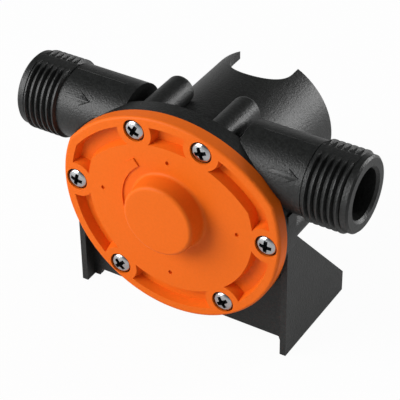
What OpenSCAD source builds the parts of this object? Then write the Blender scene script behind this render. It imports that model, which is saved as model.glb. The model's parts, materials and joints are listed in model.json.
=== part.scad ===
// Self-priming pump that is driven by a hand drill.
// X runs along the two ports, Y runs back along the shaft, Z is up.
// The origin is on the floor, in the middle of the outline seen from above.

/* [Cover] */
// Radius of the front cover about the shaft
cover_r = 40.6; // [40:0.1:42]
// Height of the cover's flatter top over the shaft
cover_top = 33.3; // [32.8:0.1:35]
// Radius of the cover's flatter top
top_r = 48; // [44:0.5:54]
// Thickness of the front cover at its edge
cover_t = 4.8; // [4.6:0.1:6]
// Rounding of the cover's front edge
cover_round = 1; // [0.6:0.1:1.4]
// Diameter of the raised bearing boss
boss_d = 25.6; // [22:0.4:27]
// Height of the bearing boss over the cover's face
boss_proud = 7.2; // [5:0.1:8]
// Depth of the arc-shaped pockets
pocket_depth = 3.4; // [2:0.1:3.6]
// Width of the flat band outside the pockets
pocket_edge = 3.3; // [2.6:0.1:4]
// Radial width of the pockets
pocket_w = 6.5; // [4:0.1:7]
// Radius of the pads round the screws
pad_r = 6.4; // [5.6:0.1:7]

/* [Chamber and body] */
// Radius of the pump chamber
chamber_r = 25.6; // [24:0.2:26.2]
// Depth of the pump chamber
chamber_depth = 19; // [18:0.5:22]
// How far the shaft lies above the chamber's centre
shaft_rise = 4.2; // [3:0.2:5]
// Wall round the chamber
body_wall = 3.7; // [3.2:0.1:4.2]
// Thickness of the wall behind the chamber
back_wall = 3; // [2.6:0.2:4]
// Thickness of the rim that carries the cover
rim_t = 6.5; // [5.5:0.1:7.5]
// Height of the chamber's centre over the floor
centre_h = 44; // [42:0.5:50]

/* [Ports] */
// Overall length from one port mouth to the other
port_span = 122.4; // [118:0.4:130]
// Height of the port axis above the chamber's centre
port_rise = 22.5; // [21.9:0.1:23]
// Distance of the port axis behind the joint face
port_back = 11.7; // [11.3:0.1:12.1]
// Outer diameter of the plain part of a port tube
tube_d = 25; // [24.4:0.2:25.4]
// Bore of a port
port_bore = 17; // [16:0.2:17.6]
// Crest diameter of the hose thread
thread_d = 26.98; // [26.4:0.01:27.4]
// Pitch of the hose thread
thread_pitch = 2.209; // [2:0.001:2.5]
// Number of thread ridges
thread_turns = 6; // [5:1:6]
// Depth of the thread
thread_depth = 1.25; // [0.8:0.05:1.4]
// Length of the plain ring at the mouth
lead_len = 2.6; // [2:0.1:3.4]

/* [Stand] */
// Distance between the outer faces of the two legs
stand_w = 80.6; // [80.2:0.2:84]
// Thickness of a leg
leg_t = 2.2; // [2:0.1:3]
// Distance of a leg's front edge behind the joint face
leg_front = 1.1; // [0.6:0.1:2]
// Length of a leg's foot from front to back
foot_len = 40.2; // [34:0.2:44]
// Height of the upright rear end of a leg
leg_rear_h = 8; // [5:0.5:12]
// Thickness of the web between the legs
web_t = 2.4; // [2:0.1:3]
// Gap between the web and the floor
web_gap = 2.9; // [2:0.1:4]

/* [Collar] */
// Outer diameter of the collar round the drill chuck
collar_d = 49.3; // [47:0.1:52]
// Wall of the collar
collar_wall = 2.6; // [2.2:0.1:3.2]
// Rear end of the collar, behind the joint face
collar_end = 59.8; // [59.2:0.1:65]
// Width of the notch in the collar's top
notch_w = 22.4; // [18:0.2:25]
// Depth of the notch from the collar's rear end
notch_len = 15.2; // [12:0.2:17]

/* [Shaft] */
// Diameter of the drive shaft
shaft_d = 8; // [7.8:0.1:8.2]
// Length of the shank that the chuck grips
shank_len = 20; // [15:0.5:20.5]
// Number of impeller vanes
vanes = 6; // [5:1:8]
// Thickness of a vane
vane_t = 2.2; // [1.6:0.1:2.6]
// Diameter of the impeller's hub
hub_d = 18; // [16.6:0.2:20]

/* [Fasteners] */
// Head diameter of a cover screw
screw_head_d = 7.2; // [6.6:0.1:7.6]
// Thread diameter of a cover screw
screw_d = 3.6; // [3:0.1:3.8]
// Length of a cover screw under its head
screw_len = 18; // [14:0.5:20]
// Outer diameter of the rear screw bosses
screw_boss_d = 10; // [9:0.2:10.4]
// Length of the screw bosses behind the joint face
screw_boss_len = 24.3; // [22.5:0.1:26]

/* [Clearances] */
// Radial running clearance of the shaft in its bush
run_clear = 0.05; // [0.02:0.01:0.09]
// Gap at each side of the impeller
side_clear = 0.4; // [0.3:0.05:0.6]
// Gap between a vane's tip and the nearest chamber wall
tip_clear = 0.4; // [0.3:0.05:0.8]
// Gap between the cover's edge and the port tubes
cover_clear = 0.4; // [0.3:0.1:0.6]
// Radial gap where one piece is pressed on or into another
fit_clear = 0.02; // [0.01:0.01:0.05]

/* [Hidden] */
$fn = 96;
eps = 0.01;

// The overall box and the frame's origin
front_y = -(cover_t + boss_proud);
origin_y = (front_y + collar_end) / 2;
shaft_r = shaft_d / 2;

// The cover's outline is a circle about the shaft, cut by a larger one for the top
top_z = cover_top - top_r;

// Cover screws lie on the outline's inset, by their angles from straight up
screw_inset = 5;
top_screw_angle = 16.6;
low_screw_angles = [90.8, 146.1];
screw_spots = [for (s = [-1, 1]) each concat(
    [[s * (top_r - screw_inset) * sin(top_screw_angle), top_z + (top_r - screw_inset) * cos(top_screw_angle)]],
    [for (a = low_screw_angles) (cover_r - screw_inset) * [s * sin(a), cos(a)]])];
seat_depth = 1.7;
seat_clear = 0.35;
head_h = 2.3;
head_bevel = 0.9;
screw_tip = 1.2;
recess_arm = 1.0;
recess_span = 4.4;
recess_depth = 1.5;

// Small pits that the ejector pins leave in the cover's face
pit_d = 1.5;
pit_depth = 0.7;
pit_ring = 25.2;
pit_drop = 14.9;
pits = [[0, cover_top - pit_drop], [0, -pit_ring], [pit_ring, 0], [-pit_ring, 0]];
wall_slope = 0.25;
boss_round = 1.3;
boss_root = 1.2;
boss_draft = 0.5;
boss_base_r = boss_d / 2 + boss_draft;

// Crescent between two circles, whose outer one is off the shaft
mark_h = 0.5;
mark_in = 17.4;
mark_out = 18.8;
mark_shift = [-1.2, 1.2];
mark_from = 182;
mark_to = 322;

// Cover seal
seal_cord = 2;
seal_r = chamber_r + 1.4 + seal_cord / 2;

// Body
body_r = chamber_r + body_wall;
body_end = chamber_depth + back_wall;
rim_bevel = 0.8;
boss_dome = 1.4;
pilot_r = screw_d / 2 + fit_clear;
pilot_end = screw_len + 1 - cover_t + seat_depth;

// Ports
tube_r = tube_d / 2;
port_end = port_span / 2;
bore_r = port_bore / 2;
crest_r = thread_d / 2;
root_r = crest_r - thread_depth;
crest_flat = 0.5;
root_flat = 0.45;
thread_end = port_end - lead_len;
thread_start = thread_end - thread_turns * thread_pitch;
tube_inner = 20.9;
duct_x = tube_inner + 2.2;
lip_step = 1.1;
lip_bevel = 0.7;
mouth_bevel = 0.9;
parting_flat = tube_r + 0.25;
duct_len = 3.4;
duct_w = 14;
duct_top = 8;
duct_bottom = 4.5;
bore_inner = duct_x + duct_len;

// Stand
leg_x = stand_w / 2;
leg_top = port_rise - tube_r + 3;
leg_notch_z = 2.6;
web_front = 5.7;
web_corner = 3;

// Collar
collar_r = collar_d / 2;
collar_in = collar_r - collar_wall;
notch_r = notch_w / 2;

// Shaft and its supports
bush_r = 6;
bush_cap = 1.9;
bush_front = front_y + bush_cap;
washer_r = 7.8;
washer_t = 1;
washer_gap = 0.1;
bush_rear = -washer_t - 0.3;
seal_seat_y = chamber_depth + washer_t + 2 * washer_gap + 1.5;
seal_out_r = 8;
seal_w = 5;
seal_case_t = 0.9;
garter_r = 5.35;
garter_wire = 0.45;
bearing_out = 11;
bearing_w = 7;
bearing_y = seal_seat_y + seal_w + 0.5;
ring_wall = 1.7;
pitch_r = (bearing_out + shaft_r) / 2;
ball_r = 1.985;
ball_clear = 0.05;
ball_count = 7;
cage_t = 0.8;
shield_t = 0.35;
hub_out_r = bearing_out + 2.6;
clip_t = 1;
clip_w = 1.6;
clip_gap = 0.1;
circlip_y = bearing_y + bearing_w + clip_gap;
hub_end = circlip_y + clip_t + 1.6;
hub_ribs = 6;
rib_t = 1.8;
rib_end = hub_end - 6;
shaft_front = bush_front + 0.4;
shaft_end = hub_end + shank_len;
shank_bevel = 0.8;

// Rotor
insert_r = 6.4;
pin_r = 1.25;
pin_y = chamber_depth / 2;
tip_r = chamber_r - shaft_rise - tip_clear;
bulb_r = vane_t * 0.8;

// Moves a piece from the joint's frame, whose origin is the chamber's centre
// in the joint face, to the part's own frame.
module at_joint() translate([0, -origin_y, centre_h]) children();

// Moves a piece on to the shaft's axis, and puts it in the part's own frame.
module on_shaft() at_joint() translate([0, 0, shaft_rise]) children();

// A cylinder along Y from y0 to y1.
module rod_y(r, y0, y1) translate([0, y0, 0]) rotate([-90, 0, 0]) cylinder(r = r, h = y1 - y0);

// A cylinder along X from x0 to x1.
module rod_x(r, x0, x1) translate([x0, 0, 0]) rotate([0, 90, 0]) cylinder(r = r, h = x1 - x0);

// A ring along Y.
module ring_y(r_out, r_in, y0, y1) difference() {
    rod_y(r_out, y0, y1);
    rod_y(r_in, y0 - 1, y1 + 1);
}

// A flat outline drawn in X and Z, made solid from y0 to y1.
module plate_y(y0, y1) translate([0, y1, 0]) rotate([90, 0, 0]) linear_extrude(height = y1 - y0) children();

// A profile drawn as radius and distance along Y, turned about Y.
module turn_y() rotate([-90, 0, 0]) rotate_extrude() children();

// Two turned discs whose common part has the cover's outline: one about the
// shaft, and one for the top. The child is drawn for radius $r.
module outline_solid() intersection() {
    let ($r = cover_r) children();
    translate([0, 0, top_z]) let ($r = top_r) children();
}

// The cover's flat outline, moved inwards.
module outline(inset = 0) intersection() {
    circle(r = cover_r - inset);
    translate([0, top_z]) circle(r = top_r - inset);
}

// The places of the cover screws.
module at_screws() for (p = screw_spots) translate([p[0], 0, p[1]]) children();

// A wedge of the plane between two angles measured from straight up.
module wedge(a0, a1, r) polygon(concat([[0, 0]],
    [for (i = [0:6]) let (a = a0 + (a1 - a0) * i / 6) [r * sin(a), r * cos(a)]]));

// The cover's blank, with a rounded front edge.
module cover_blank() outline_solid() turn_y() {
    difference() {
        translate([0, -cover_t]) square([$r, cover_t]);
        translate([$r - cover_round, -cover_t - 1]) square([cover_round + 1, cover_round + 1]);
    }
    translate([$r - cover_round, -cover_t + cover_round]) circle(r = cover_round, $fn = 48);
}

// The bearing boss, turned with a rounded edge and a small fillet at its root.
module bearing_boss() turn_y() polygon(concat(
    [[0, -cover_t + 1], [boss_base_r + boss_root, -cover_t + 1], [boss_base_r + boss_root, -cover_t]],
    [for (i = [1:6]) let (a = 15 * i)
        [boss_base_r + boss_root * (1 - sin(a)), -cover_t - boss_root * (1 - cos(a))]],
    [for (i = [0:6]) let (a = 15 * i)
        [boss_d / 2 - boss_round * (1 - cos(a)), front_y + boss_round * (1 - sin(a))]],
    [[0, front_y]]));

// A plug from before the cover's face to the depth y1, of radius r at the face,
// that widens by slope as it goes in.
module plug(r, slope, y1) turn_y() polygon([
    [0, -cover_t - 1], [r - slope, -cover_t - 1], [r + slope * (y1 + cover_t), y1], [0, y1]]);

// The arc-shaped pockets between the screw pads, with sloping walls.
module cover_pockets() difference() {
    outline_solid() plug($r - pocket_edge, -wall_slope, -cover_t + pocket_depth);
    outline_solid() plug($r - pocket_edge - pocket_w, wall_slope, 1);
    at_screws() plug(pad_r, wall_slope, 1);
}

// The raised crescent beside the boss that shows the way round.
module turn_mark() plate_y(-cover_t - mark_h, -cover_t + 1) intersection() {
    difference() {
        translate(mark_shift) circle(r = mark_out);
        circle(r = mark_in);
    }
    wedge(mark_from, mark_to, 2 * mark_out);
}

module front_cover() color("#f07025") on_shaft() difference() {
    union() {
        difference() {
            cover_blank();
            cover_pockets();
        }
        bearing_boss();
        turn_mark();
    }
    at_screws() {
        rod_y(screw_d / 2 + 0.2, -cover_t - 1, 1);
        rod_y(screw_head_d / 2 + seat_clear, -cover_t - 1, -cover_t + seat_depth);
    }
    for (p = pits) translate([p[0], 0, p[1]]) rod_y(pit_d / 2, -cover_t - 1, -cover_t + pit_depth);
    rod_y(bush_r + fit_clear, bush_front, 1);
    rod_y(washer_r + washer_gap, -washer_t - washer_gap, 1);
}

module cover_seal() color("#1c1c1c") at_joint() turn_y()
    translate([seal_r, seal_cord / 2]) circle(d = seal_cord, $fn = 32);

// A pan head, turned, with its bevelled rim.
module screw_head() turn_y() polygon([
    [0, 0], [screw_head_d / 2, 0], [screw_head_d / 2, -0.7],
    [screw_head_d / 2 - 0.35, -1.35], [screw_head_d / 2 - head_bevel, -1.85],
    [screw_head_d / 2 - 2 * head_bevel, -head_h + 0.15], [0, -head_h]]);

module cover_screw() difference() {
    union() {
        screw_head();
        rod_y(screw_d / 2, -eps, screw_len - screw_tip);
        turn_y() polygon([[0, screw_len - screw_tip - eps], [screw_d / 2, screw_len - screw_tip - eps],
                          [0.5, screw_len], [0, screw_len]]);
    }
    for (a = [0, 90]) rotate([0, a, 0])
        translate([-recess_span / 2, -head_h - 1, -recess_arm / 2])
            cube([recess_span, recess_depth + 1, recess_arm]);
}

module cover_screws() color("#c4c8cc") on_shaft() at_screws()
    translate([0, -cover_t + seat_depth, 0]) cover_screw();

// One leg's outline, seen from the side, with Y to the right.
module leg_outline() polygon([
    [leg_front, -centre_h], [leg_front + foot_len, -centre_h],
    [leg_front + foot_len, -centre_h + leg_rear_h],
    [rim_t, leg_notch_z], [rim_t, leg_top], [leg_front, leg_top]]);

module leg(side) translate([side > 0 ? leg_x - leg_t : -leg_x, 0, 0])
    rotate([90, 0, 90]) linear_extrude(height = leg_t) leg_outline();

// The web that joins the legs, with chamfered lower corners.
module web() plate_y(web_front, web_front + web_t) polygon([
    [-leg_x + eps, -centre_h], [-leg_x + leg_t + web_corner - 1, -centre_h],
    [-leg_x + leg_t + web_corner, -centre_h + web_gap],
    [leg_x - leg_t - web_corner, -centre_h + web_gap],
    [leg_x - leg_t - web_corner + 1, -centre_h], [leg_x - eps, -centre_h],
    [leg_x - eps, 0], [-leg_x + eps, 0]]);

// One thread as ridges with flat crests, from its start to its end.
module thread_ridges() rotate([0, 90, 0]) rotate_extrude() polygon(concat(
    [[bore_r + 1, thread_start - 1], [root_r, thread_start - 1]],
    [for (i = [0:thread_turns - 1]) let (m = thread_start + (i + 0.5) * thread_pitch) each [
        [root_r, m - (thread_pitch - root_flat) / 2], [crest_r, m - crest_flat / 2],
        [crest_r, m + crest_flat / 2], [root_r, m + (thread_pitch - root_flat) / 2]]],
    [[root_r, thread_end + 0.2], [bore_r + 1, thread_end + 0.2]]));

// The flats along the mould's parting line, where the ridges fade.
module parting_cut() for (s = [-1, 1])
    translate([thread_start - eps, -8, s > 0 ? parting_flat : -parting_flat - 6])
        cube([thread_end - thread_start + 2 * eps, 16, 6]);

// The outside of the port on the right.
module port_outside() {
    rod_x(tube_r, tube_inner, thread_start - 0.6);
    rod_x(root_r, thread_start - 1, port_end - lip_step);
    difference() {
        thread_ridges();
        parting_cut();
    }
    translate([thread_end, 0, 0]) rotate([0, 90, 0])
        cylinder(r1 = root_r + 0.5, r2 = root_r + 0.5, h = lead_len - lip_bevel);
    translate([port_end - lip_bevel - eps, 0, 0]) rotate([0, 90, 0])
        cylinder(r1 = root_r + 0.5, r2 = root_r + 0.5 - lip_bevel, h = lip_bevel + eps);
}

// The bore of the port on the right, its bevelled mouth and its way into the chamber.
module port_inside() {
    rod_x(bore_r, bore_inner, port_end + 1);
    translate([port_end - mouth_bevel, 0, 0]) rotate([0, 90, 0])
        cylinder(r1 = bore_r, r2 = bore_r + mouth_bevel + eps, h = mouth_bevel + eps);
    translate([duct_x, -duct_w / 2, duct_bottom - port_rise])
        cube([duct_len + eps, duct_w, port_rise - duct_bottom + duct_top]);
}

module both_ports() for (s = [0, 1]) mirror([s, 0, 0]) translate([0, port_back, port_rise]) children();

// The rim that carries the cover, with its rear edge bevelled.
module rim() outline_solid() turn_y() polygon([
    [0, 0], [$r, 0], [$r, rim_t - rim_bevel], [$r - rim_bevel, rim_t], [0, rim_t]]);

// A screw boss with a domed rear end.
module screw_boss() turn_y() polygon(concat(
    [[0, 1], [screw_boss_d / 2, 1]],
    [for (i = [0:5]) let (a = 18 * i)
        [screw_boss_d / 2 - boss_dome * (1 - cos(a)), screw_boss_len - boss_dome * (1 - sin(a))]],
    [[0, screw_boss_len]]));

// The hub behind the chamber that holds the seal and the bearing.
module bearing_hub() {
    rod_y(hub_out_r, chamber_depth + 1, hub_end);
    for (i = [0:hub_ribs - 1]) rotate([0, 360 * (i + 0.5) / hub_ribs, 0])
        translate([hub_out_r - 1, body_end - 1, -rib_t / 2])
            cube([collar_in - hub_out_r + 1.5, rib_end - body_end + 1, rib_t]);
}

// The round hollows on the shaft's axis, from the chamber to the hub's end.
module bearing_bores() {
    rod_y(washer_r + washer_gap, chamber_depth - 1, chamber_depth + washer_t + washer_gap);
    rod_y(shaft_r + 0.6, chamber_depth - 1, hub_end + 1);
    rod_y(seal_out_r, seal_seat_y, hub_end + 1);
    rod_y(bearing_out, bearing_y, hub_end + 1);
    rod_y(bearing_out + 0.7, circlip_y - 0.05, circlip_y + clip_t + 0.05);
}

module housing() color("#2b2c2d") at_joint() difference() {
    union() {
        rod_y(body_r, 1, body_end);
        translate([0, 0, shaft_rise]) {
            rim();
            at_screws() screw_boss();
            ring_y(collar_r, collar_in, body_end - 2, collar_end);
            bearing_hub();
        }
        both_ports() port_outside();
        leg(1);
        leg(-1);
        web();
    }
    rod_y(chamber_r, -1, chamber_depth);
    turn_y() translate([seal_r - seal_cord / 2 - fit_clear, -1]) square([seal_cord + 2 * fit_clear, seal_cord + 1]);
    both_ports() port_inside();
    translate([0, 0, shaft_rise]) {
        plate_y(front_y, 0) outline(-cover_clear);
        at_screws() rod_y(pilot_r, -1, pilot_end);
        bearing_bores();
        translate([-notch_r, collar_end - notch_len + notch_r, 0])
            cube([notch_w, notch_len, collar_r + 1]);
        translate([0, collar_end - notch_len + notch_r, 0]) cylinder(r = notch_r, h = collar_r + 1);
    }
}

module front_bush() color("#b08d4f") on_shaft() ring_y(bush_r, shaft_r + run_clear, bush_front, bush_rear);

module front_thrust_washer() color("#d8d4c8") on_shaft()
    ring_y(washer_r, shaft_r + 0.1, -washer_t, -eps);

module rear_thrust_washer() color("#d8d4c8") on_shaft()
    ring_y(washer_r, shaft_r + 0.1, chamber_depth + eps, chamber_depth + washer_t);

// The seal's pressed steel case, an angle ring.
module seal_case() color("#8c8f92") on_shaft() {
    ring_y(seal_out_r, seal_out_r - seal_case_t, seal_seat_y, seal_seat_y + seal_w);
    ring_y(seal_out_r - seal_case_t / 2, seal_out_r - 2, seal_seat_y, seal_seat_y + seal_case_t);
}

// The rubber lip, whose edge runs on the shaft, with the groove for its spring.
module seal_lip() color("#3a2a24") on_shaft() difference() {
    turn_y() polygon([
        [seal_out_r - seal_case_t, seal_seat_y + seal_case_t], [seal_out_r - seal_case_t, seal_seat_y + 2.2],
        [5.6, seal_seat_y + 2.2], [5.6, seal_seat_y + seal_w - 0.2], [4.7, seal_seat_y + seal_w - 0.2],
        [shaft_r + run_clear, seal_seat_y + 3.4], [4.8, seal_seat_y + seal_case_t]]);
    turn_y() translate([garter_r + 0.35, seal_seat_y + 3.5]) circle(r = garter_wire + 0.02, $fn = 32);
}

module garter_spring() color("#b9bcc0") on_shaft() turn_y()
    translate([garter_r + 0.35, seal_seat_y + 3.5]) circle(r = garter_wire, $fn = 32);

// Balls sit in grooves of this radius.
module ball_groove() turn_y() translate([pitch_r, bearing_y + bearing_w / 2])
    circle(r = ball_r + ball_clear, $fn = 48);

// Steps at both faces of the outer ring, which hold the shields.
module shield_steps() for (y = [bearing_y - 1, bearing_y + bearing_w - shield_t])
    rod_y(bearing_out - ring_wall + 0.5, y, y + (y < bearing_y ? 1 + shield_t : 1));

module bearing_outer_ring() color("#c9ccd0") on_shaft() difference() {
    ring_y(bearing_out, bearing_out - ring_wall, bearing_y, bearing_y + bearing_w);
    ball_groove();
    shield_steps();
}

module bearing_inner_ring() color("#c9ccd0") on_shaft() difference() {
    ring_y(shaft_r + ring_wall, shaft_r + fit_clear, bearing_y, bearing_y + bearing_w);
    ball_groove();
}

module at_balls() for (i = [0:ball_count - 1]) rotate([0, 360 * i / ball_count, 0])
    translate([pitch_r, bearing_y + bearing_w / 2, 0]) children();

module bearing_balls() color("#dfe2e5") on_shaft() at_balls() sphere(r = ball_r);

module bearing_cage() color("#c8a24a") on_shaft() difference() {
    ring_y(pitch_r + cage_t, pitch_r - cage_t, bearing_y + 1, bearing_y + bearing_w - 1);
    at_balls() rotate([0, 90, 0]) cylinder(r = ball_r + ball_clear, h = 4 * cage_t, center = true);
}

module bearing_shields() color("#55585b") on_shaft()
    for (y = [bearing_y, bearing_y + bearing_w - shield_t])
        ring_y(bearing_out - ring_wall + 0.5, shaft_r + ring_wall + 0.2, y, y + shield_t);

// A circlip: a flat ring with a gap between two eyes.
module circlip(r_out, r_in, eye_r) difference() {
    ring_y(r_out, r_in, 0, clip_t);
    translate([0, -1, 0]) rotate([0, -90, 0]) translate([0, 0, -1]) cube([r_out + 1, clip_t + 2, 2]);
    for (s = [-1, 1]) rotate([0, s * 14, 0]) translate([0, 0, eye_r]) rod_y(0.5, -1, clip_t + 1);
}

module bearing_circlip() color("#4a4c4e") on_shaft() translate([0, circlip_y, 0])
    circlip(bearing_out + 0.6, bearing_out - clip_w, bearing_out - clip_w / 2);

module shaft_circlip() color("#4a4c4e") on_shaft() translate([0, circlip_y, 0])
    circlip(shaft_r + clip_w, shaft_r - 0.5, shaft_r + clip_w / 2);

module drive_shaft() color("#b4b8bc") on_shaft() difference() {
    turn_y() polygon([
        [0, shaft_front], [shaft_r - 0.5, shaft_front], [shaft_r, shaft_front + 0.5],
        [shaft_r, circlip_y - 0.03], [shaft_r - 0.5, circlip_y - 0.03],
        [shaft_r - 0.5, circlip_y + clip_t + 0.03], [shaft_r, circlip_y + clip_t + 0.03],
        [shaft_r, shaft_end - shank_bevel], [shaft_r - shank_bevel, shaft_end], [0, shaft_end]]);
    translate([0, pin_y, -shaft_r - 1]) cylinder(r = pin_r + fit_clear, h = shaft_d + 2, $fn = 32);
}

module impeller_insert() color("#b8963e") on_shaft() difference() {
    ring_y(insert_r, shaft_r + fit_clear, side_clear, chamber_depth - side_clear);
    translate([0, pin_y, -insert_r - 1]) cylinder(r = pin_r + fit_clear, h = 2 * insert_r + 2, $fn = 32);
}

module drive_pin() color("#9a9da0") on_shaft()
    translate([0, pin_y, -insert_r + 0.4]) cylinder(r = pin_r, h = 2 * insert_r - 0.8, $fn = 32);

module vane() {
    translate([0, side_clear, -vane_t / 2])
        cube([tip_r - bulb_r, chamber_depth - 2 * side_clear, vane_t]);
    translate([tip_r - bulb_r, 0, 0]) rod_y(bulb_r, side_clear, chamber_depth - side_clear);
}

module impeller() color("#232323") on_shaft() difference() {
    union() {
        rod_y(hub_d / 2, side_clear, chamber_depth - side_clear);
        for (i = [0:vanes - 1]) rotate([0, 360 * i / vanes, 0]) vane();
    }
    rod_y(insert_r + fit_clear, -1, chamber_depth + 1);
}

housing();
front_cover();
cover_seal();
cover_screws();
front_bush();
front_thrust_washer();
rear_thrust_washer();
seal_case();
seal_lip();
garter_spring();
bearing_outer_ring();
bearing_inner_ring();
bearing_balls();
bearing_cage();
bearing_shields();
bearing_circlip();
drive_shaft();
impeller_insert();
impeller();
drive_pin();
shaft_circlip();
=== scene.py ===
"""Drill pump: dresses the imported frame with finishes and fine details, and sets the studio."""

import json
import logging
import math
from dataclasses import dataclass
from enum import Enum

import bmesh
import bpy
from mathutils import Matrix, Vector


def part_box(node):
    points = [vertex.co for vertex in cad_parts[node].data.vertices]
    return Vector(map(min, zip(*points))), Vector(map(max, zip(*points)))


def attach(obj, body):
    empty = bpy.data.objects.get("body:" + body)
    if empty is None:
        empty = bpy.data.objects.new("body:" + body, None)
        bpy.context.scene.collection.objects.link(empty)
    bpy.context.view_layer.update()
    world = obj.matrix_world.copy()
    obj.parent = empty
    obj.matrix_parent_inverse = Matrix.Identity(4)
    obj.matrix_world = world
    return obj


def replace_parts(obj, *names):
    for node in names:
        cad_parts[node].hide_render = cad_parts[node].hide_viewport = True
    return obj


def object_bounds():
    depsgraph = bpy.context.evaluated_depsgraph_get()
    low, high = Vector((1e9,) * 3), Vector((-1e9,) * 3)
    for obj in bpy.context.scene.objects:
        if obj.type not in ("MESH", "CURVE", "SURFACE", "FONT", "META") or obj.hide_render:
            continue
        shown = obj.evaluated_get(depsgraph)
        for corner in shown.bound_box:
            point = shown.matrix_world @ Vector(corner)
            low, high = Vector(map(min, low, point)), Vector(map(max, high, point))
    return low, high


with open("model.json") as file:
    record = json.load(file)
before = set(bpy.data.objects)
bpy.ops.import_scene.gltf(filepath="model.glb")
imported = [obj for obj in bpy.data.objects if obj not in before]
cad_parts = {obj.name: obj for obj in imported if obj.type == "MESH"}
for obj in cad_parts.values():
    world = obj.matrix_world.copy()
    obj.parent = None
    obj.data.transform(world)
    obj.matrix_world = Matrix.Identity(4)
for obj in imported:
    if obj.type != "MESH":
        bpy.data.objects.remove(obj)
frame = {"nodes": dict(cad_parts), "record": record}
CAD_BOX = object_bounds()

MM = 0.001
# Points nearer than this are merged, in new shapes and in the CAD's meshes
MERGE_DIST = 0.0005 * MM
CAD_MERGE_DIST = 0.001 * MM
WHITE = (1.0, 1.0, 1.0, 1.0)
# Places of the mix node's colour sockets
MIX_FIRST, MIX_SECOND, MIX_RESULT = 6, 7, 2
Colour = tuple[float, float, float]
log = logging.getLogger("drill_pump")


class Slot(Enum):
    """The material slots of the record."""

    BLACK_PLASTIC = "black_plastic"
    ORANGE_PLASTIC = "orange_plastic"
    ZINC = "zinc"
    STEEL = "steel"
    SPRING_STEEL = "spring_steel"
    BRONZE = "bronze"
    RUBBER = "rubber"
    NYLON = "nylon"


class PortSide(Enum):
    """The two hose ports, by the sign of X on their side."""

    INLET = -1
    OUTLET = 1


class Wire:
    """An output socket whose arithmetic adds Math nodes to its tree."""

    def __init__(self, tree: "ShaderTree", socket: bpy.types.NodeSocket) -> None:
        """Keeps the socket and the tree that it belongs to."""
        self.tree = tree
        self.socket = socket

    def math(self, operation: str, first: "Wire | float", second: "Wire | float" = 0.0) -> "Wire":
        """Adds one Math node.

        Args:
            operation: the node's operation.
            first: its first value.
            second: its second value.

        Returns:
            The node's output.
        """
        return self.tree.add("ShaderNodeMath", {"operation": operation}, {0: first, 1: second})

    def __add__(self, other: "Wire | float") -> "Wire":
        """Adds a value to the socket."""
        return self.math("ADD", self, other)

    def __radd__(self, other: float) -> "Wire":
        """Adds the socket to a number."""
        return self.math("ADD", other, self)

    def __sub__(self, other: "Wire | float") -> "Wire":
        """Takes a value from the socket."""
        return self.math("SUBTRACT", self, other)

    def __rsub__(self, other: float) -> "Wire":
        """Takes the socket from a number."""
        return self.math("SUBTRACT", other, self)

    def __mul__(self, other: "Wire | float") -> "Wire":
        """Multiplies the socket by a value."""
        return self.math("MULTIPLY", self, other)

    def __rmul__(self, other: float) -> "Wire":
        """Multiplies a number by the socket."""
        return self.math("MULTIPLY", other, self)

    def most(self, other: "Wire | float") -> "Wire":
        """Returns the larger of the socket and a value."""
        return self.math("MAXIMUM", self, other)


class ShaderTree:
    """The node tree of a material or world, built one node at a time."""

    def __init__(self, owner: bpy.types.Material | bpy.types.World) -> None:
        """Empties the owner's node tree.

        Args:
            owner: the material or world that the tree belongs to.
        """
        owner.use_nodes = True
        self.tree = owner.node_tree
        self.tree.nodes.clear()

    def add(self, kind: str, settings: dict | None = None, values: dict | None = None,
            output: int | str = 0) -> Wire | None:
        """Adds a node, sets it, and then fills or links its inputs.

        Args:
            kind: the node's type.
            settings: its properties, with a ramp's stops as pairs of place and colour.
            values: what each input holds, a number, a colour or a wire, by name or index.
            output: which output is wanted.

        Returns:
            That output, or None where the node has no outputs.
        """
        node = self.tree.nodes.new(kind)
        for name, value in (settings or {}).items():
            if name == "stops":
                self.set_stops(node.color_ramp, value)
            else:
                setattr(node, name, value)
        for name, value in (values or {}).items():
            if isinstance(value, Wire):
                self.tree.links.new(value.socket, node.inputs[name])
            else:
                node.inputs[name].default_value = value
        return Wire(self, node.outputs[output]) if len(node.outputs) else None

    def set_stops(self, ramp: bpy.types.ColorRamp, stops: list[tuple[float, Colour]]) -> None:
        """Sets a ramp's stops.

        Args:
            ramp: the ramp, which has two stops when it is new.
            stops: the place and colour of each, from left to right.
        """
        while len(ramp.elements) < len(stops):
            ramp.elements.new(0.5)
        for element, (place, colour) in zip(ramp.elements, stops):
            element.position = place
            element.color = (*colour, 1.0)

    def noise(self, coordinates: Wire, size: float, detail: float = 2.0) -> Wire:
        """Adds a noise pattern.

        Args:
            coordinates: where on the surface the pattern is read.
            size: how large its patches are, in metres.
            detail: how many finer layers it has.

        Returns:
            Its strength from 0 to 1.
        """
        return self.add("ShaderNodeTexNoise", {"noise_dimensions": "3D"},
                        {"Vector": coordinates, "Scale": 1 / size, "Detail": detail})

    def ramp(self, factor: Wire, start: float, end: float) -> Wire:
        """Adds a ramp from black to white.

        Args:
            factor: what it reads.
            start: where it leaves black.
            end: where it reaches white.

        Returns:
            Its colour, which is also a value.
        """
        stops = [(start, (0.0, 0.0, 0.0)), (end, (1.0, 1.0, 1.0))]
        return self.add("ShaderNodeValToRGB", {"stops": stops}, {"Fac": factor})

    def blend(self, factor: Wire, first: Colour | Wire, second: Colour | Wire) -> Wire:
        """Mixes two colours.

        Args:
            factor: how much of the second shows.
            first: the colour at 0.
            second: the colour at 1.

        Returns:
            The mixed colour.
        """
        ends = [c if isinstance(c, Wire) else (*c, 1.0) for c in (first, second)]
        values = {0: factor, MIX_FIRST: ends[0], MIX_SECOND: ends[1]}
        return self.add("ShaderNodeMix", {"data_type": "RGBA"}, values, MIX_RESULT)

    def object_coordinates(self) -> Wire:
        """Returns the coordinates of the object that the material is on."""
        return self.add("ShaderNodeTexCoord", output="Object")


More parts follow.
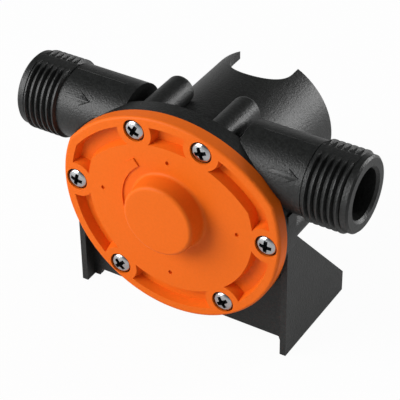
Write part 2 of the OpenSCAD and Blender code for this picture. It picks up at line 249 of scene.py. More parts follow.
@dataclass(frozen=True)
class Finish:
    """What all the finishes share.

    Attributes:
        slot: the record's slot that the finish belongs to.
        colour: the surface's own colour.
        roughness: how broad its reflections are.
        grain_size: the size of its finest grain, in metres.
        grain_depth: how deep that grain is, in metres.
    """

    slot: Slot
    colour: Colour
    roughness: float
    grain_size: float
    grain_depth: float

    def shade(self, amount: float) -> Colour:
        """Returns the finish's colour made lighter or darker by a factor."""
        return tuple(min(1.0, part * amount) for part in self.colour)

    def material(self, name: str) -> bpy.types.Material:
        """Builds the finish's material.

        Args:
            name: the material's name.

        Returns:
            The new material.
        """
        material = bpy.data.materials.new(name)
        tree = ShaderTree(material)
        surface = tree.add("ShaderNodeBsdfPrincipled", values=self.sockets(tree))
        tree.add("ShaderNodeOutputMaterial", values={"Surface": surface})
        return material

    def sockets(self, tree: ShaderTree) -> dict:
        """Returns what the shader's sockets hold, which each finish says for itself."""
        raise NotImplementedError

    def relief(self, tree: ShaderTree, height: Wire, depth: float, below: Wire | None = None) -> Wire:
        """Adds a bump.

        Args:
            tree: the material's tree.
            height: the pattern that stands up.
            depth: how high it stands, in metres.
            below: the normal that the bump is added to, if there is one.

        Returns:
            The bumped normal.
        """
        values = {"Height": height, "Distance": depth, "Strength": 1.0}
        if below is not None:
            values["Normal"] = below
        return tree.add("ShaderNodeBump", values=values)


@dataclass(frozen=True)
class MouldedPlastic(Finish):
    """Moulded plastic with the fine grain of its mould and slow changes of sheen.

    Attributes:
        specular: how strongly the plastic reflects.
        shade_change: how far its shade wanders, as a share.
        mottle_size: the size of its paler and darker spots, in metres.
        mottle_depth: how high the paler spots stand, in metres.
        mottle_edges: where in their pattern the paler spots begin and are palest.
        mottle_share: how much of the shade's change is the spots'. The slow changes make the rest.
        flow_size: the size of the slow changes, in metres.
        flow_sheen: how far the slow changes move the roughness.
        grain_sheen: how far the grain moves the roughness.
        sink_depth: how deep the slow waves of the face are, in metres.
    """

    specular: float = 0.5
    shade_change: float = 0.08
    mottle_size: float = 0.9 * MM
    mottle_depth: float = 0.002 * MM
    mottle_edges: tuple[float, float] = (0.36, 0.64)
    mottle_share: float = 0.6
    flow_size: float = 22 * MM
    flow_sheen: float = 0.10
    grain_sheen: float = 0.08
    sink_depth: float = 0.02 * MM

    def sockets(self, tree: ShaderTree) -> dict:
        """Builds the nodes of moulded plastic.

        Args:
            tree: the material's tree.

        Returns:
            What the shader's sockets hold, by name.
        """
        place = tree.object_coordinates()
        grain = tree.noise(place, self.grain_size, detail=3.0)
        mottle = tree.noise(place, self.mottle_size)
        flow = tree.noise(place, self.flow_size, detail=1.0)
        spots = tree.ramp(mottle, *self.mottle_edges)
        tone = flow * (1 - self.mottle_share) + spots * self.mottle_share
        darkest, palest = self.shade(1 - self.shade_change), self.shade(1 + self.shade_change)
        smoothest = self.roughness - (self.flow_sheen + self.grain_sheen) / 2
        waves = self.relief(tree, flow, self.sink_depth)
        raised = self.relief(tree, mottle, self.mottle_depth, waves)
        return {
            "Base Color": tree.blend(tone, darkest, palest),
            "Roughness": flow * self.flow_sheen + smoothest + grain * self.grain_sheen,
            "Specular IOR Level": self.specular,
            "Normal": self.relief(tree, grain, self.grain_depth, raised),
        }


@dataclass(frozen=True)
class PlatedMetal(Finish):
    """Bright plate with a slight ripple and faint stains.

    Attributes:
        stain: how much darker the stains are, as a share.
        stain_scale: how large the stains are, in grains.
        stain_edges: where in their pattern the stains end and the clean plate begins.
        ripple_sheen: how far the ripple moves the roughness.
        clean_sheen: how much rougher the clean plate is than the stains.
        sheen_drop: how far the smoothest spots lie below the finish's roughness.
    """

    stain: float = 0.12
    stain_scale: float = 12.0
    stain_edges: tuple[float, float] = (0.40, 0.66)
    ripple_sheen: float = 0.12
    clean_sheen: float = 0.06
    sheen_drop: float = 0.08

    def sockets(self, tree: ShaderTree) -> dict:
        """Builds the nodes of plated metal.

        Args:
            tree: the material's tree.

        Returns:
            What the shader's sockets hold, by name.
        """
        place = tree.object_coordinates()
        ripple = tree.noise(place, self.grain_size)
        stains = tree.noise(place, self.grain_size * self.stain_scale, detail=3.0)
        clean = tree.ramp(stains, *self.stain_edges)
        smoothest = self.roughness - self.sheen_drop
        return {
            "Base Color": tree.blend(clean, self.shade(1 - self.stain), self.colour),
            "Metallic": 1.0,
            "Roughness": ripple * self.ripple_sheen + clean * self.clean_sheen + smoothest,
            "Normal": self.relief(tree, ripple, self.grain_depth),
        }


@dataclass(frozen=True)
class TurnedMetal(Finish):
    """Metal turned or ground about the shaft, with fine lines round it and small pores.

    Attributes:
        line_pitch: the distance from one tool line to the next, in metres.
        line_stretch: how much the pattern of lines is squeezed along each axis.
        line_sheen: how far the lines move the roughness.
        pore_change: how much darker the pores are, as a share.
        pore_edges: where in their pattern the pores end and the metal begins.
        pore_sheen: how much rougher the pores are.
    """

    line_pitch: float = 0.12 * MM
    line_stretch: tuple[float, float, float] = (0.03, 1.0, 0.03)
    line_sheen: float = 0.20
    pore_change: float = 0.25
    pore_edges: tuple[float, float] = (0.30, 0.46)
    pore_sheen: float = 0.15

    def sockets(self, tree: ShaderTree) -> dict:
        """Builds the nodes of turned metal.

        Args:
            tree: the material's tree.

        Returns:
            What the shader's sockets hold, by name.
        """
        place = tree.object_coordinates()
        squeezed = {0: place, 1: self.line_stretch}
        along = tree.add("ShaderNodeVectorMath", {"operation": "MULTIPLY"}, squeezed)
        lines = tree.noise(along, self.line_pitch)
        solid = tree.ramp(tree.noise(place, self.grain_size, detail=3.0), *self.pore_edges)
        smoothest = self.roughness - self.line_sheen / 2
        return {
            "Base Color": tree.blend(solid, self.shade(1 - self.pore_change), self.colour),
            "Metallic": 1.0,
            "Roughness": lines * self.line_sheen + smoothest + (1 - solid) * self.pore_sheen,
            "Normal": self.relief(tree, lines, self.grain_depth),
        }


@dataclass(frozen=True)
class MouldedRubber(Finish):
    """Soft black rubber with a fine matt grain and a faint pale bloom.

    Attributes:
        specular: how strongly the rubber reflects.
        bloom: how much paler the bloom is, as a factor.
        bloom_scale: how large the patches of bloom are, in grains.
        bloom_edges: where in its pattern the bloom begins and is palest.
        grain_sheen: how far the grain moves the roughness.
    """

    specular: float = 0.35
    bloom: float = 2.2
    bloom_scale: float = 25.0
    bloom_edges: tuple[float, float] = (0.45, 0.75)
    grain_sheen: float = 0.14

    def sockets(self, tree: ShaderTree) -> dict:
        """Builds the nodes of moulded rubber.

        Args:
            tree: the material's tree.

        Returns:
            What the shader's sockets hold, by name.
        """
        place = tree.object_coordinates()
        grain = tree.noise(place, self.grain_size, detail=3.0)
        cloud = tree.ramp(tree.noise(place, self.grain_size * self.bloom_scale), *self.bloom_edges)
        smoothest = self.roughness - self.grain_sheen / 2
        return {
            "Base Color": tree.blend(cloud, self.colour, self.shade(self.bloom)),
            "Roughness": grain * self.grain_sheen + smoothest,
            "Specular IOR Level": self.specular,
            "Normal": self.relief(tree, grain, self.grain_depth),
        }


FINISHES = {finish.slot: finish for finish in (
    MouldedPlastic(Slot.BLACK_PLASTIC, (0.0105, 0.0113, 0.0109), roughness=0.41, grain_size=0.45 * MM,
                   grain_depth=0.060 * MM, specular=0.40, shade_change=0.55, mottle_depth=0.08 * MM,
                   flow_size=16 * MM),
    MouldedPlastic(Slot.ORANGE_PLASTIC, (0.76, 0.133, 0.008), roughness=0.46, grain_size=0.30 * MM,
                   grain_depth=0.003 * MM, specular=0.12, shade_change=0.03),
    PlatedMetal(Slot.ZINC, (0.52, 0.53, 0.54), roughness=0.20, grain_size=0.25 * MM,
                grain_depth=0.004 * MM),
    TurnedMetal(Slot.STEEL, (0.60, 0.61, 0.62), roughness=0.28, grain_size=0.30 * MM,
                grain_depth=0.002 * MM),
    PlatedMetal(Slot.SPRING_STEEL, (0.13, 0.13, 0.135), roughness=0.42, grain_size=0.20 * MM,
                grain_depth=0.006 * MM),
    TurnedMetal(Slot.BRONZE, (0.58, 0.38, 0.17), roughness=0.40, grain_size=0.18 * MM,
                grain_depth=0.004 * MM),
    MouldedRubber(Slot.RUBBER, (0.014, 0.014, 0.015), roughness=0.72, grain_size=0.22 * MM,
                  grain_depth=0.010 * MM),
    MouldedPlastic(Slot.NYLON, (0.76, 0.73, 0.65), roughness=0.48, grain_size=0.25 * MM,
                   grain_depth=0.004 * MM, shade_change=0.05, flow_size=6 * MM),
)}

# Painted shade: a dark, dull plate for the screws' cross recesses and the flange rings round their domes,
# standing in for the shadow in the recess and in the gap round each head.
RECESS_PAINTED_SHADE = PlatedMetal(Slot.ZINC, (0.035, 0.035, 0.037), roughness=0.55, grain_size=0.20 * MM,
                            grain_depth=0.006 * MM)


class Paint:
    """Makes each finish once and puts it on the CAD nodes and on new pieces."""

    def __init__(self) -> None:
        """Builds every finish's material, and the painted shade of the screws' recesses and flange rings.
        """
        self.materials = {slot: finish.material(f"{slot.value}_finish")
                          for slot, finish in FINISHES.items()}
        # Painted shade for the screws' cross recesses and flange rings.
        self.recess = RECESS_PAINTED_SHADE.material("screw_recess_painted_shade")

    def dress_nodes(self) -> None:
        """Puts the finish of its slot on every CAD node."""
        for subpart in frame["record"]["subparts"]:
            node = frame["nodes"][subpart["node"]]
            material = self.materials[Slot(subpart["material_slot"])]
            if not node.material_slots:
                node.data.materials.append(material)
            for holder in node.material_slots:
                holder.material = material
            log.info("%s: dressed with %s", node.name, material.name)

    def finish_piece(self, name: str, mesh: bmesh.types.BMesh, slot: Slot, body: str,
                     smooth_below: float = 35.0, with_painted_shade: bool = False) -> bpy.types.Object:
        """Makes an object of a mesh, dresses it and lets it ride on a body.

        Args:
            name: the new piece's name.
            mesh: its shape, in its place, which is used up.
            slot: its finish.
            body: the CAD body that it moves with.
            smooth_below: edges flatter than this angle, in degrees, are shaded smooth.
            with_painted_shade: whether the faces of the second material get the dark, dull painted shade.

        Returns:
            The new piece.
        """
        data = bpy.data.meshes.new(name)
        mesh.to_mesh(data)
        mesh.free()
        data.materials.append(self.materials[slot])
        # The second material is painted shade, dark where shadow falls in recesses and gaps.
        if with_painted_shade:
            data.materials.append(self.recess)
        data.shade_smooth()
        data.set_sharp_from_angle(angle=math.radians(smooth_below))
        piece = bpy.data.objects.new(name, data)
        bpy.context.scene.collection.objects.link(piece)
        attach(piece, body)
        log.info("%s: %d faces on %s", name, len(data.polygons), body)
        return piece


def turned(profile: list[tuple[float, float]], steps: int) -> bmesh.types.BMesh:
    """Turns a profile about the Y axis.

    Args:
        profile: pairs of radius and distance along Y, which start and end on the axis.
        steps: how many faces go round.

    Returns:
        The closed shape, with its faces outwards.
    """
    mesh = bmesh.new()
    points = [mesh.verts.new((radius, along, 0.0)) for radius, along in profile]
    lines = [mesh.edges.new(pair) for pair in zip(points, points[1:])]
    bmesh.ops.spin(mesh, geom=points + lines, cent=(0, 0, 0), axis=(0, 1, 0), angle=math.tau,
                   steps=steps, use_merge=True)
    bmesh.ops.remove_doubles(mesh, verts=mesh.verts, dist=MERGE_DIST)
    bmesh.ops.recalc_face_normals(mesh, faces=mesh.faces)
    return mesh


def cut_out(blank: bmesh.types.BMesh, cutters: list[bmesh.types.BMesh]) -> bmesh.types.BMesh:
    """Cuts shapes out of another.

    Args:
        blank: the closed shape that is cut, which is used up.
        cutters: the closed shapes that are taken away, which are used up.

    Returns:
        What is left of the blank.
    """
    objects = []
    for index, mesh in enumerate([blank, *cutters]):
        data = bpy.data.meshes.new(f"cutting_{index}")
        mesh.to_mesh(data)
        mesh.free()
        item = bpy.data.objects.new(data.name, data)
        bpy.context.scene.collection.objects.link(item)
        objects.append(item)
    for cutter in objects[1:]:
        step = objects[0].modifiers.new("cut", "BOOLEAN")
        step.operation = "DIFFERENCE"
        step.solver = "EXACT"
        step.object = cutter
    result = bmesh.new()
    result.from_object(objects[0], bpy.context.evaluated_depsgraph_get())
    for item in objects:
        data = item.data
        bpy.data.objects.remove(item)
        bpy.data.meshes.remove(data)
    return result


def solid_boxes(node: str) -> list[tuple[Vector, Vector]]:
    """Finds the separate solids of a CAD node.

    Args:
        node: the node's name.

    Returns:
        The lowest and highest corner of each solid.
    """
    mesh = bmesh.new()
    mesh.from_mesh(frame["nodes"][node].data)
    bmesh.ops.remove_doubles(mesh, verts=mesh.verts, dist=CAD_MERGE_DIST)
    left = set(mesh.verts)
    boxes = []
    while left:
        front = [left.pop()]
        solid = []
        while front:
            point = front.pop()
            solid.append(point.co.copy())
            for edge in point.link_edges:
                other = edge.other_vert(point)
                if other in left:
                    left.remove(other)
                    front.append(other)
        boxes.append((Vector(map(min, zip(*solid))), Vector(map(max, zip(*solid)))))
    mesh.free()
    return boxes


@dataclass
class CoverScrews:
    """The six pan-head screws of the cover, with cross recesses and threads.

    Attributes:
        dome_rise: how much of the head's height is its dome.
        dome_power: how full the dome is. At 1 it is an ellipse.
        dome_end: where the dome's arc ends, in degrees from its top.
        dome_pitch: the angle from one of the arc's points to the next, in degrees.
        dome_step: how much smaller the dome's radius is than the CAD head's.
        flange_reach: how much larger the flange's radius is, which nearly fills the seat. The flange
            carries painted shade.
        flange_slope: how far the flange falls away from the dome.
        flange_bevel: how large the bevel of its edge is.
        head_h: how high the head is.
        steps: how many faces go round a screw.
        cross_span: how long the recess is from arm to arm, at the head's top.
        cross_width: how wide an arm is there.
        cross_depth: how deep the recess is.
        cross_taper: the recess's size at its bottom, as a share of that at its top.
        middle_share: how wide the taper at the recess's middle is, in widths of an arm.
        cutter_above: how far the shapes that cut the recess reach above the head.
        core_d: the diameter at the root of the thread.
        crest_d: the diameter at its crest.
        crest_flat: how wide the flat of a crest is.
        thread_pitch: the distance from one turn of the thread to the next.
        thread_flank: how long the flank of a turn is, as a share of the pitch.
        tip_r: the radius at the tip.
        turns: how far each screw was turned when it was tight, in degrees.
    """

    dome_rise: float = 1.15 * MM
    dome_power: float = 1.15
    dome_end: int = 84
    dome_pitch: int = 6
    dome_step: float = 0.2 * MM
    flange_reach: float = 0.27 * MM
    flange_slope: float = 0.08 * MM
    flange_bevel: float = 0.12 * MM
    head_h: float = 2.3 * MM
    steps: int = 48
    cross_span: float = 4.7 * MM
    cross_width: float = 1.4 * MM
    cross_depth: float = 1.9 * MM
    cross_taper: float = 0.55
    middle_share: float = 1.55
    cutter_above: float = 1 * MM
    core_d: float = 2.7 * MM
    crest_d: float = 3.6 * MM
    crest_flat: float = 0.1 * MM
    thread_pitch: float = 1.4 * MM
    thread_flank: float = 0.4
    tip_r: float = 0.4 * MM
    turns: tuple[float, ...] = (12.0, 47.0, 28.0, 70.0, 55.0, 5.0)

    def build(self, paint: Paint) -> bpy.types.Object:
        """Builds the six screws as one piece, in the places of the CAD screws.

        Args:
            paint: what dresses the piece.

        Returns:
            The piece.
        """
        places = sorted(solid_boxes("cover_screws"), key=lambda corners: (corners[0].x, corners[0].z))
        low, high = places[0]
        one = self.screw((high.x - low.x) / 2, high.y - low.y)
        pattern = bpy.data.meshes.new("screw_pattern")
        one.to_mesh(pattern)
        one.free()
        every = bmesh.new()
        for (low, high), turn in zip(places, self.turns):
            centre = (low + high) / 2
            before = set(every.verts)
            every.from_mesh(pattern)
            place = Matrix.Translation((centre.x, low.y, centre.z))
            turned_place = place @ Matrix.Rotation(math.radians(turn), 4, "Y")
            added = [point for point in every.verts if point not in before]
            bmesh.ops.transform(every, matrix=turned_place, verts=added)
        bpy.data.meshes.remove(pattern)
        # The cross recesses and flange rings get painted shade.
        piece = paint.finish_piece("cover_screws_fine", every, Slot.ZINC, "pump_body", with_painted_shade=True)
        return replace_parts(piece, "cover_screws")

    def screw(self, head_r: float, length: float) -> bmesh.types.BMesh:
        """Builds one screw, with the top of its head at the origin and its tip along +Y.

        Args:
            head_r: the radius of its head.
            length: how long it is from end to end.

        Returns:
            The screw.
        """
        head_h = self.head_h
        crest_r = self.crest_d / 2
        core_r = self.core_d / 2
        dome_r = head_r - self.dome_step
        flange_r = head_r + self.flange_reach
        bevel_y = self.dome_rise + self.flange_slope
        arc = [math.radians(a) for a in range(0, self.dome_end + 1, self.dome_pitch)]
        dome = [(dome_r * math.sin(a), self.dome_rise * (1 - math.cos(a) ** self.dome_power)) for a in arc]
        rim = [(dome_r, self.dome_rise), (flange_r - self.flange_bevel, bevel_y),
               (flange_r, bevel_y + self.flange_bevel), (flange_r, head_h), (core_r, head_h)]
        thread = []
        flank = self.thread_flank * self.thread_pitch
        along = head_h + self.thread_pitch
        while along < length - 2 * self.thread_pitch:
            thread += [(core_r, along - flank), (crest_r, along), (crest_r, along + self.crest_flat),
                       (core_r, along + flank)]
            along += self.thread_pitch
        tip = [(core_r, length - self.thread_pitch), (self.tip_r, length), (0.0, length)]
        blank = turned(dome + rim + thread + tip, self.steps)
        # Painted shade: every face below the dome, the flange ring included, takes the dark second material
        # in place of the shadowed gap between head and seat.
        for face in blank.faces:
            face.material_index = int(face.calc_center_median().y > self.dome_rise)
        return cut_out(blank, self.cross_cutters())

    def cross_cutters(self) -> list[bmesh.types.BMesh]:
        """Builds the shapes that the cross recess is cut with.

        Returns:
            Two tapered arms that cross, and the four-sided taper at their middle.
        """
        arm = (self.cross_span, self.cross_width)
        middle = self.middle_share * self.cross_width
        return [self.taper(*arm, turn=0.0), self.taper(*arm, turn=90.0),
                self.taper(middle, middle, turn=45.0)]

    def taper(self, across: float, wide: float, turn: float) -> bmesh.types.BMesh:
        """Builds one tapered block that reaches into the head along +Y.

        Args:
            across: its length at the head's top.
            wide: its width there.
            turn: how far it is turned about Y, in degrees.

        Returns:
            The block.
        """
        block = bmesh.new()
        reach = self.cross_depth + self.cutter_above
        slope = (1 - self.cross_taper) / self.cross_depth
        top = 1 + slope * self.cutter_above
        bmesh.ops.create_cone(block, cap_ends=True, segments=4, radius1=self.cross_taper * math.sqrt(0.5),
                              radius2=top * math.sqrt(0.5), depth=reach,
                              matrix=Matrix.Rotation(math.radians(45), 4, "Z"))
        upright = Matrix.Rotation(math.radians(90), 4, "X")
        sized = Matrix.Diagonal((across, wide, 1.0, 1.0))
        lowered = Matrix.Translation((0.0, self.cross_depth - reach / 2, 0.0))
        turned_block = lowered @ Matrix.Rotation(math.radians(turn), 4, "Y") @ upright @ sized
        bmesh.ops.transform(block, matrix=turned_block, verts=block.verts)
        bmesh.ops.recalc_face_normals(block, faces=block.faces)
        # The recess's walls take the second material, painted shade in place of the shadow in the recess.
        for face in block.faces:
            face.material_index = 1
        return block


def port_middle() -> Vector:
    """Returns the middle of the axis that the two ports share, from the record's outlet bore."""
    bore = next(mount for mount in frame["record"]["mounts"] if mount["name"] == "outlet_bore")
    return Vector((0.0, bore["pos_m"][1], bore["pos_m"][2]))


@dataclass
class HosePort:
    """What stands on one port: the flow arrow, the mould's parting line and the thread's flat lands.

    Attributes:
        side: which port it is.
        neck_r: the radius of the neck.
        arrow_x: how far the arrow's middle is from the pump's middle.
        arrow_angle: how far the arrow is above the neck's front, in degrees.
        arrow_length: how long the arrow is.
        arrow_head: how long its head is.
        head_width: how wide its head is.
        stem_width: how wide its stem is.
        mark_rise: how far the arrow stands up.
        mark_sunk: how deep its foot is in the neck.
        mark_round: how round its upper edges are.
        mark_sharp: how sharp an edge is that gets rounded, in radians.
        bend_cuts: where the arrow is divided so that it can bend, as shares of half its head's width.
        line_start: where the parting line starts.
        line_end: where it ends.
        line_width: how wide the parting line is.
        line_rise: how far it stands up.
        line_round: how round its upper edges are.
        land_start: where the flat lands across the threads start.
        land_end: where they end.
        land_height: how far a land's face is from the port's axis.
        land_depth: how far its foot lies under its face.
        land_round: how round the face's long edges are.
        land_edges: where its face starts and ends behind the port's axis, at the front and at the rear.
        land_slope: how far each side slopes out from there to its foot between the ridges.
    """

    side: PortSide
    neck_r: float = 12.5 * MM
    arrow_x: float = 38.5 * MM
    arrow_angle: float = 30.0
    arrow_length: float = 9.5 * MM
    arrow_head: float = 3.6 * MM
    head_width: float = 4.2 * MM
    stem_width: float = 1.3 * MM
    mark_rise: float = 0.4 * MM
    mark_sunk: float = 0.15 * MM
    mark_round: float = 0.1 * MM
    mark_sharp: float = 0.5
    bend_cuts: tuple[float, ...] = (-0.6, -0.3, 0.0, 0.3, 0.6)
    line_start: float = 25.5 * MM
    line_end: float = 44.4 * MM
    line_width: float = 0.5 * MM
    line_rise: float = 0.08 * MM
    line_round: float = 0.06 * MM
    land_start: float = 45.2 * MM
    land_end: float = 58.5 * MM
    land_height: float = 12.78 * MM
    land_depth: float = 2.3 * MM
    land_round: float = 0.5 * MM
    land_edges: tuple[float, float] = (-2.4 * MM, 1.4 * MM)
    land_slope: float = 3.8 * MM

    def build(self, paint: Paint) -> None:
        """Builds the arrow, the parting line and the lands of the thread.

        Args:
            paint: what dresses the pieces.
        """
        name = self.side.name.lower()
        paint.finish_piece(f"{name}_flow_arrow", self.arrow(), Slot.BLACK_PLASTIC, "pump_body")
        paint.finish_piece(f"{name}_parting_line", self.parting_line(), Slot.BLACK_PLASTIC, "pump_body")
        paint.finish_piece(f"{name}_thread_lands", self.thread_lands(), Slot.BLACK_PLASTIC, "pump_body")

    def arrow(self) -> bmesh.types.BMesh:
        """Builds the raised arrow that points the way the water flows, bent round the neck.

        Returns:
            The arrow, sunk a little into the neck.
        """
        back, tip = -self.arrow_length / 2, self.arrow_length / 2
        neck = tip - self.arrow_head
        stem, head = self.stem_width / 2, self.head_width / 2
        side = [(back, stem), (neck, stem), (neck, head)]
        corners = [(x, -y) for x, y in side] + [(tip, 0.0)] + side[::-1]
        mesh = bmesh.new()
        mesh.faces.new([mesh.verts.new((x, y, 0.0)) for x, y in corners])
        top = bmesh.ops.extrude_face_region(mesh, geom=mesh.faces[:])["geom"]
        raised = [item for item in top if isinstance(item, bmesh.types.BMVert)]
        bmesh.ops.translate(mesh, verts=raised, vec=(0.0, 0.0, self.mark_rise + self.mark_sunk))
        for cut in self.bend_cuts:
            bmesh.ops.bisect_plane(mesh, geom=mesh.verts[:] + mesh.edges[:] + mesh.faces[:],
                                   plane_co=(0.0, cut * head, 0.0), plane_no=(0.0, 1.0, 0.0))
        bmesh.ops.recalc_face_normals(mesh, faces=mesh.faces)
        edges = [edge for edge in mesh.edges if min(point.co.z for point in edge.verts) > 0
                 and len(edge.link_faces) == 2 and edge.calc_face_angle() > self.mark_sharp]
        bmesh.ops.bevel(mesh, geom=edges, affect="EDGES", offset=self.mark_round, segments=2, profile=0.5,
                        material=-1)
        self.bend(mesh, self.neck_r - self.mark_sunk)
        return mesh

    def bend(self, mesh: bmesh.types.BMesh, radius: float) -> None:
        """Bends a flat shape round the neck.

        Args:
            mesh: the flat shape, with X along the port, Y round it and Z outwards.
            radius: the radius that its underside takes.
        """
        axis = port_middle()
        for point in mesh.verts:
            angle = math.radians(self.arrow_angle) + point.co.y / radius
            out = radius + point.co.z
            along = self.side.value * self.arrow_x + point.co.x
            point.co = axis + Vector((along, -out * math.cos(angle), out * math.sin(angle)))
        bmesh.ops.recalc_face_normals(mesh, faces=mesh.faces)

    def thread_lands(self) -> bmesh.types.BMesh:
        """Builds the flat lands above and below, where the mould parts and the thread's ridges run out.

        Returns:
            The two lands, whose sloping sides fill the grooves between the ridges.
        """
        mesh = bmesh.new()
        foot_z = self.land_height - self.land_depth
        length = self.land_end - self.land_start
        front, rear = self.land_edges
        section = [(front - self.land_slope, foot_z), (front, self.land_height), (rear, self.land_height),
                   (rear + self.land_slope, foot_z)]
        face = mesh.faces.new([mesh.verts.new((self.land_start, y, z)) for y, z in section])
        pushed = bmesh.ops.extrude_face_region(mesh, geom=[face])["geom"]
        ends = [item for item in pushed if isinstance(item, bmesh.types.BMVert)]
        bmesh.ops.translate(mesh, verts=ends, vec=(length, 0.0, 0.0))
        long_edges = [edge for edge in mesh.edges
                      if all(point.co.z > foot_z + self.land_depth / 2 for point in edge.verts)
                      and edge.calc_length() > length / 2]
        bmesh.ops.bevel(mesh, geom=long_edges, affect="EDGES", offset=self.land_round, segments=4,
                        profile=0.5, material=-1)
        bmesh.ops.mirror(mesh, geom=mesh.verts[:] + mesh.edges[:] + mesh.faces[:], axis="Z", merge_dist=0.0)
        sided = Matrix.Diagonal((self.side.value, 1.0, 1.0, 1.0))
        bmesh.ops.transform(mesh, matrix=Matrix.Translation(port_middle()) @ sided, verts=mesh.verts)
        bmesh.ops.recalc_face_normals(mesh, faces=mesh.faces)
        return mesh

    def parting_line(self) -> bmesh.types.BMesh:
        """Builds the fine raised line along the top of the neck.

        Returns:
            The line, half sunk into the neck.
        """
        mesh = bmesh.new()
        bmesh.ops.create_cube(mesh, size=1.0)
        length = self.line_end - self.line_start
        sized = Matrix.Diagonal((length, self.line_width, 2 * self.line_rise, 1.0))
        along = self.side.value * (self.line_start + self.line_end) / 2
        top = port_middle() + Vector((along, 0.0, self.neck_r))
        bmesh.ops.transform(mesh, matrix=Matrix.Translation(top) @ sized, verts=mesh.verts)
        upper = [edge for edge in mesh.edges if all(point.co.z > top.z for point in edge.verts)]
        bmesh.ops.bevel(mesh, geom=upper, affect="EDGES", offset=self.line_round, segments=2, profile=0.5,
                        material=-1)
        return mesh


@dataclass
class ShaftSeal:
    """The garter spring of the shaft seal, as the close coil that it is.

    Attributes:
        wire_r: the radius of its wire.
        coil_pitch: the distance from one turn to the next, round the ring.
        points_per_turn: how many points each turn has.
    """

    wire_r: float = 0.12 * MM
    coil_pitch: float = 0.3 * MM
    points_per_turn: int = 10

    def build(self, paint: Paint) -> bpy.types.Object:
        """Builds the coil in the place of the CAD ring.

        Args:
            paint: what dresses the piece.

        Returns:
            The piece.
        """
        low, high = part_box("garter_spring")
        centre = (low + high) / 2
        coil_r = (high.y - low.y) / 2
        ring_r = (high.x - low.x) / 2 - coil_r
        turns = round(math.tau * ring_r / self.coil_pitch)
        count = turns * self.points_per_turn
        curve = bpy.data.curves.new("garter_path", "CURVE")
        curve.dimensions = "3D"
        curve.bevel_depth = self.wire_r
        curve.bevel_resolution = 1
        spline = curve.splines.new("POLY")
        spline.points.add(count - 1)
        spline.use_cyclic_u = True
        path_r = coil_r - self.wire_r
        for index, point in enumerate(spline.points):
            around = math.tau * index / count
            wound = math.tau * index / self.points_per_turn
            radius = ring_r + path_r * math.cos(wound)
            point.co = (centre.x + radius * math.cos(around), centre.y + path_r * math.sin(wound),
                        centre.z + radius * math.sin(around), 1.0)
        holder = bpy.data.objects.new("garter_path", curve)
        bpy.context.scene.collection.objects.link(holder)
        evaluated = holder.evaluated_get(bpy.context.evaluated_depsgraph_get())
        wound_wire = bpy.data.meshes.new_from_object(evaluated)
        mesh = bmesh.new()
        mesh.from_mesh(wound_wire)
        bpy.data.meshes.remove(wound_wire)
        bpy.data.objects.remove(holder)
        bpy.data.curves.remove(curve)
        bmesh.ops.remove_doubles(mesh, verts=mesh.verts, dist=MERGE_DIST)
        bmesh.ops.recalc_face_normals(mesh, faces=mesh.faces)
        piece = paint.finish_piece("garter_spring_coil", mesh, Slot.SPRING_STEEL, "pump_body",
                                   smooth_below=60.0)
        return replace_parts(piece, "garter_spring")


@dataclass(frozen=True)
class Softbox:
    """One square area lamp that looks at the pump.

    Attributes:
        name: the lamp's name.
        direction: where it stands, seen from the pump.
        distance: how far away it is, in metres.
        size: the length of its side, in metres.
        power: its power, in watts.
    """

    name: str
    direction: tuple[float, float, float]
    distance: float
    size: float
    power: float

    def build(self, target: Vector) -> None:
        """Adds the lamp.

        Args:
            target: the point that it looks at.
        """
        lamp = bpy.data.lights.new(self.name, "AREA")
        lamp.shape = "SQUARE"
        lamp.size = self.size
        lamp.energy = self.power
        holder = bpy.data.objects.new(self.name, lamp)
        towards = Vector(self.direction).normalized()
        holder.location = target + towards * self.distance
        holder.rotation_euler = towards.to_track_quat("Z", "Y").to_euler()
        bpy.context.scene.collection.objects.link(holder)
        log.info("%s: %.1f W", self.name, self.power)


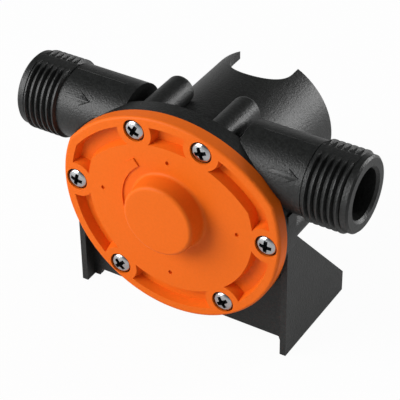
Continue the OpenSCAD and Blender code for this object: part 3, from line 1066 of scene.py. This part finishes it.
@dataclass
class Studio:
    """The pale floor, the soft lamps, the surroundings and the camera.

    Attributes:
        lamps: the key light at the front left, and the rim light behind the right port.
        floor_size: half the floor's side, in metres.
        floor_shade: how pale the floor is.
        floor_white: how much of its whiteness the camera sees whatever the light.
        floor_shine: how much of that whiteness the pump's gloss shows.
        ambient: how strongly the surroundings light the pump.
        wall: how pale the walls are, as gloss mirrors them.
        ceiling: how pale the ceiling is, as gloss mirrors it.
        ceiling_edge: how high the pale walls end and the ceiling starts, as the sine of the angle.
        azimuth: how far the camera stands to the right of the front, in degrees.
        elevation: how far it stands above the horizon, in degrees.
        roll: how far it is turned about its own axis, in degrees.
        stand: where it stands, seen from the middle between the ports, in metres.
        focal_length: its focal length on the sensor below, in millimetres.
        sensor: the width of its sensor, in millimetres.
    """

    lamps: tuple[Softbox, ...] = (
        Softbox("key_light", direction=(-0.70, -0.72, 0.47), distance=0.8, size=0.55, power=7.2),
        Softbox("rim_light", direction=(0.60, 0.76, 0.26), distance=0.8, size=0.35, power=3.8))
    floor_size: float = 3.0
    floor_shade: float = 0.7
    floor_white: float = 0.96
    floor_shine: float = 0.15
    ambient: float = 0.34
    wall: float = 0.60
    ceiling: float = 0.12
    ceiling_edge: tuple[float, float] = (0.05, 0.40)
    azimuth: float = 31.825
    elevation: float = 36.31
    roll: float = -0.851
    stand: tuple[float, float, float] = (0.23787, -0.38065, 0.30527)
    focal_length: float = 152.7
    sensor: float = 36.0

    def build(self) -> None:
        """Builds the whole studio."""
        bpy.context.scene.view_settings.view_transform = "Standard"
        self.floor()
        self.surroundings()
        middle = (CAD_BOX[0] + CAD_BOX[1]) / 2
        for lamp in self.lamps:
            lamp.build(middle)
        self.camera()

    def floor(self) -> None:
        """Adds the floor, which the camera sees almost white and which keeps the shadow."""
        mesh = bmesh.new()
        bmesh.ops.create_grid(mesh, x_segments=1, y_segments=1, size=self.floor_size)
        data = bpy.data.meshes.new("studio_floor")
        mesh.to_mesh(data)
        mesh.free()
        material = bpy.data.materials.new("studio_floor_white")
        tree = ShaderTree(material)
        shade = (self.floor_shade, self.floor_shade, self.floor_shade, 1.0)
        lit = tree.add("ShaderNodeBsdfDiffuse", values={"Color": shade})
        white = tree.add("ShaderNodeEmission", values={"Color": WHITE, "Strength": 1.0})
        seen = self.camera_rays(tree).most(self.mirrored_rays(tree) * self.floor_shine) * self.floor_white
        both = tree.add("ShaderNodeMixShader", values={0: seen, 1: lit, 2: white})
        tree.add("ShaderNodeOutputMaterial", values={"Surface": both})
        data.materials.append(material)
        floor = bpy.data.objects.new("studio_floor", data)
        bpy.context.scene.collection.objects.link(floor)

    def surroundings(self) -> None:
        """Sets the world: soft light that looks white, mirrored as pale walls under a dark ceiling."""
        world = bpy.data.worlds.new("studio")
        bpy.context.scene.world = world
        tree = ShaderTree(world)
        direction = tree.add("ShaderNodeTexCoord", output="Generated")
        height = tree.add("ShaderNodeSeparateXYZ", values={0: direction}, output="Z")
        room = self.wall - tree.ramp(height, *self.ceiling_edge) * (self.wall - self.ceiling)
        camera, mirrored = self.camera_rays(tree), self.mirrored_rays(tree)
        strength = camera + (1 - camera) * (mirrored * room + (1 - mirrored) * self.ambient)
        light = tree.add("ShaderNodeBackground", values={"Color": WHITE, "Strength": strength})
        tree.add("ShaderNodeOutputWorld", values={"Surface": light})

    def camera_rays(self, tree: ShaderTree) -> Wire:
        """Returns 1 for the rays that the camera sends out, and 0 for the rest."""
        return tree.add("ShaderNodeLightPath", output="Is Camera Ray")

    def mirrored_rays(self, tree: ShaderTree) -> Wire:
        """Returns 1 for the rays that gloss mirrors and that glass lets through, and 0 for the rest."""
        glossy = tree.add("ShaderNodeLightPath", output="Is Glossy Ray")
        return glossy.most(tree.add("ShaderNodeLightPath", output="Is Transmission Ray"))

    def camera(self) -> None:
        """Adds the camera at the photograph's angle."""
        turn, rise = math.radians(self.azimuth), math.radians(self.elevation)
        back = Vector((math.sin(turn) * math.cos(rise), -math.cos(turn) * math.cos(rise), math.sin(rise)))
        level = Vector((math.cos(turn), math.sin(turn), 0.0))
        tilt = Matrix.Rotation(math.radians(self.roll), 3, back)
        right = tilt @ level
        upward = back.cross(right)
        data = bpy.data.cameras.new("photo_camera")
        data.lens = self.focal_length
        data.sensor_width = self.sensor
        camera = bpy.data.objects.new("photo_camera", data)
        rotation = Matrix((right, upward, back)).transposed().to_4x4()
        camera.matrix_world = Matrix.Translation(port_middle() + Vector(self.stand)) @ rotation
        bpy.context.scene.collection.objects.link(camera)
        bpy.context.scene.camera = camera


def main() -> None:
    """Builds and dresses the pump, sub-assembly by sub-assembly, and then its studio."""
    logging.basicConfig(level=logging.INFO, format="%(name)s: %(message)s")
    paint = Paint()
    paint.dress_nodes()
    CoverScrews().build(paint)
    HosePort(PortSide.INLET, arrow_angle=40.0).build(paint)
    HosePort(PortSide.OUTLET).build(paint)
    ShaftSeal().build(paint)
    Studio().build()


if __name__ == "__main__":
    main()
